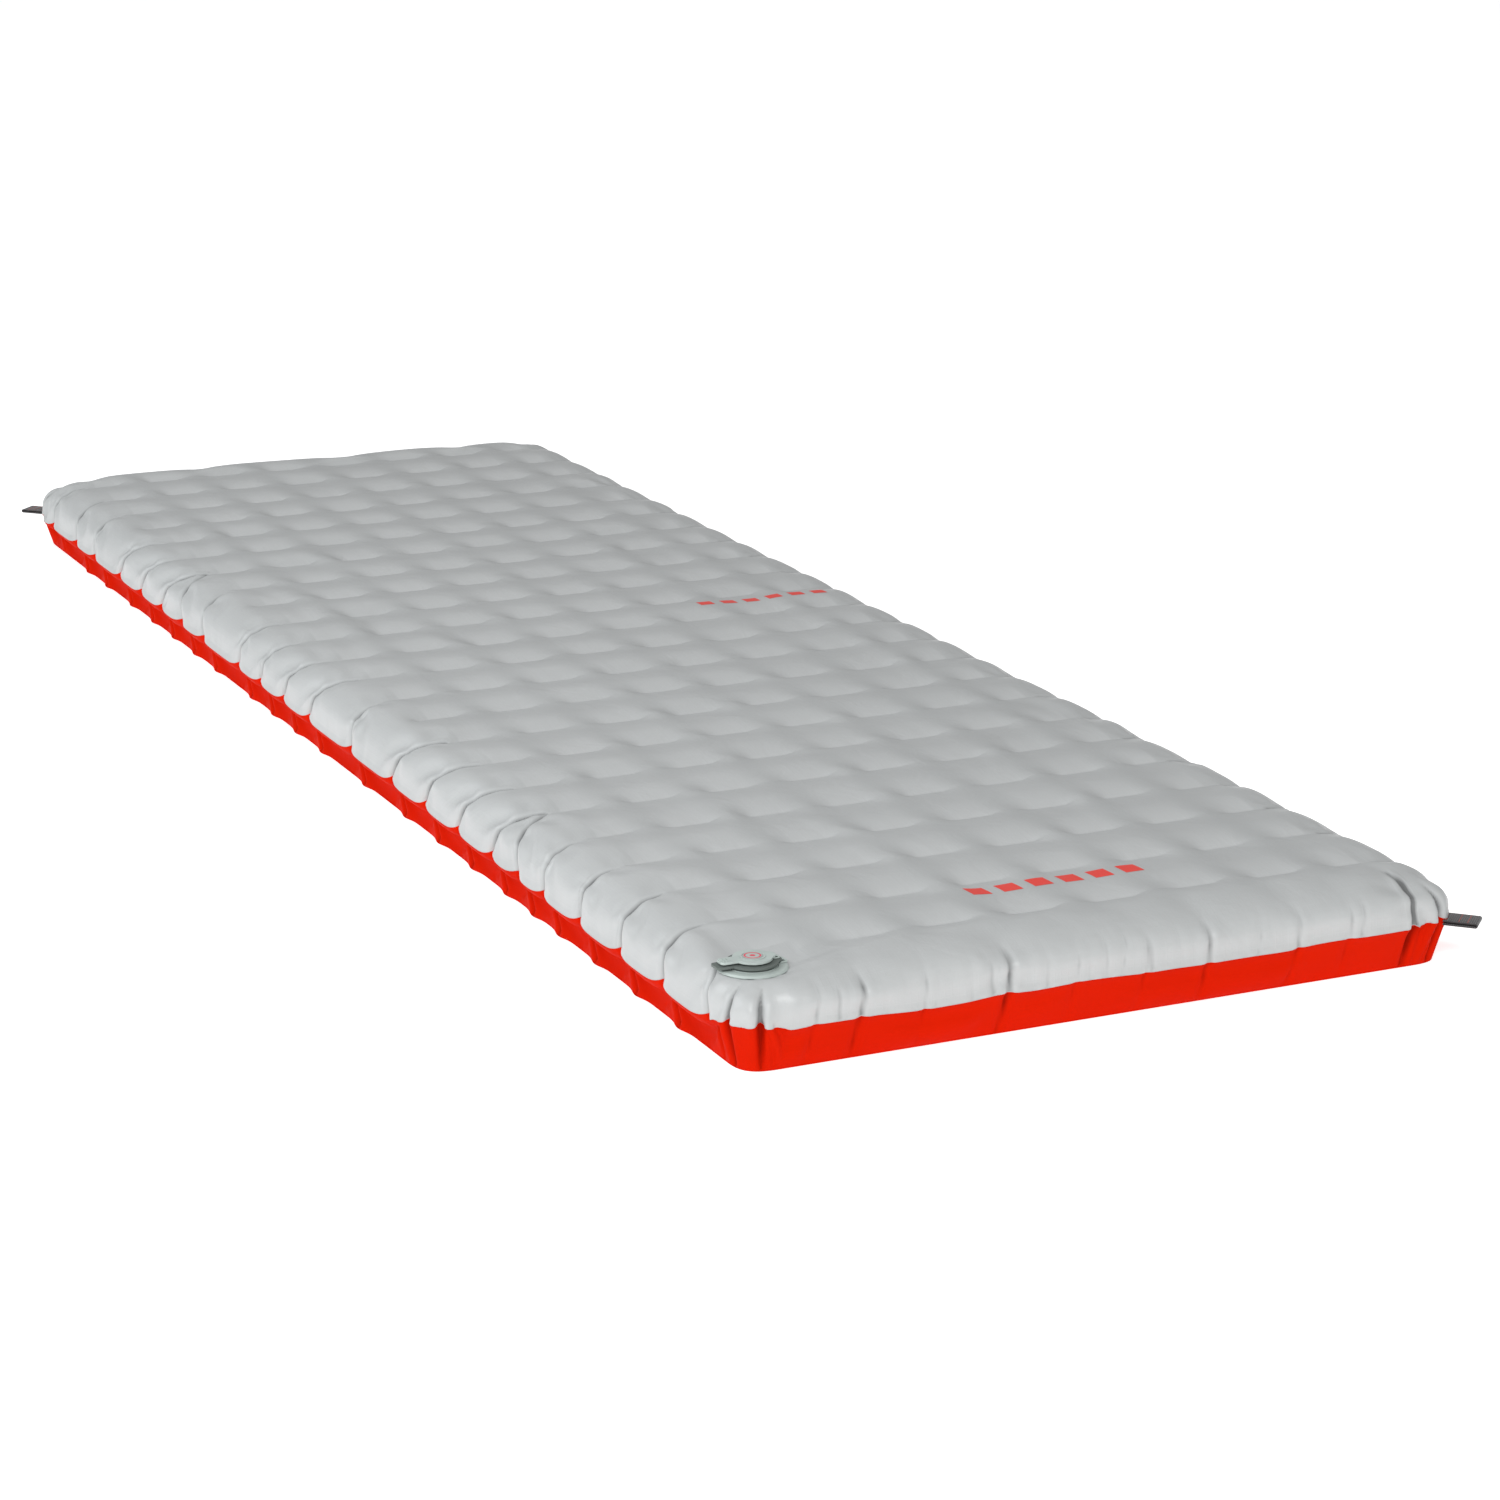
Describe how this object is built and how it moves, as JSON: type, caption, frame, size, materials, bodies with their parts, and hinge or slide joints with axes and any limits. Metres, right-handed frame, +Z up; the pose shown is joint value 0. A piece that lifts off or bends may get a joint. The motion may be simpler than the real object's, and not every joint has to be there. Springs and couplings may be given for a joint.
{
  "type": "inflatable sleeping pad",
  "caption": "Rectangular inflated camping pad: quilted grey top, red-orange base, welded seam all round, upright trusses and reflecting films inside, flat valve at one corner.",
  "frame": {"origin": "on the ground, under the middle of the pad", "axes": "+X across the width, +Y along the length away from the valve's end, +Z up"},
  "size_m": [0.6614, 1.9514, 0.078],
  "materials": {
    "top_fabric": "coated woven polyester, satin grey",
    "base_fabric": "coated woven polyester, satin red-orange",
    "truss_film": "translucent film",
    "metal_film": "metal-coated reflecting film",
    "valve_shell": "moulded soft polyurethane, fine matt texture",
    "valve_seal": "moulded silicone",
    "webbing": "woven tape",
    "print": "printed ink"
  },
  "bodies": {
    "pad": {"top_shell": "top_fabric", "bottom_shell": "base_fabric", "truss_01": "truss_film", "truss_02": "truss_film", "truss_03": "truss_film", "truss_04": "truss_film", "truss_05": "truss_film", "truss_06": "truss_film", "truss_07": "truss_film", "truss_08": "truss_film", "truss_09": "truss_film", "truss_10": "truss_film", "truss_11": "truss_film", "truss_12": "truss_film", "truss_13": "truss_film", "truss_14": "truss_film", "truss_15": "truss_film", "truss_16": "truss_film", "truss_17": "truss_film", "truss_18": "truss_film", "truss_19": "truss_film", "truss_20": "truss_film", "truss_21": "truss_film", "truss_22": "truss_film", "truss_23": "truss_film", "truss_24": "truss_film", "upper_reflecting_film": "metal_film", "lower_reflecting_film": "metal_film", "valve_base": "valve_shell", "valve_collar": "valve_shell", "lid_strap": "valve_shell", "label_tab": "webbing", "corner_tab": "webbing"},
    "lid": {"deflate_lid": "valve_shell", "lid_seal": "valve_seal", "check_seat": "valve_shell", "cap_strap": "valve_shell"},
    "cap": {"inflate_cap": "valve_shell", "cap_mark": "print"},
    "flap": {"check_flap": "valve_seal"}
  },
  "joints": [
    {"name": "lid_hinge", "type": "hinge", "parent": "pad", "child": "lid", "pos_m": [-0.254, -0.904, 0.0693], "axis": [0, 1, 0], "range_deg": [0, 66]},
    {"name": "cap_hinge", "type": "hinge", "parent": "lid", "child": "cap", "pos_m": [-0.2585, -0.904, 0.0724], "axis": [0, 1, 0], "range_deg": [0, 55]},
    {"name": "flap_hinge", "type": "hinge", "parent": "lid", "child": "flap", "pos_m": [-0.264, -0.904, 0.0663], "axis": [0, -1, 0], "range_deg": [0, 40], "stiffness_Nm_per_rad": 0.002, "springref_deg": -5.73}
  ]
}
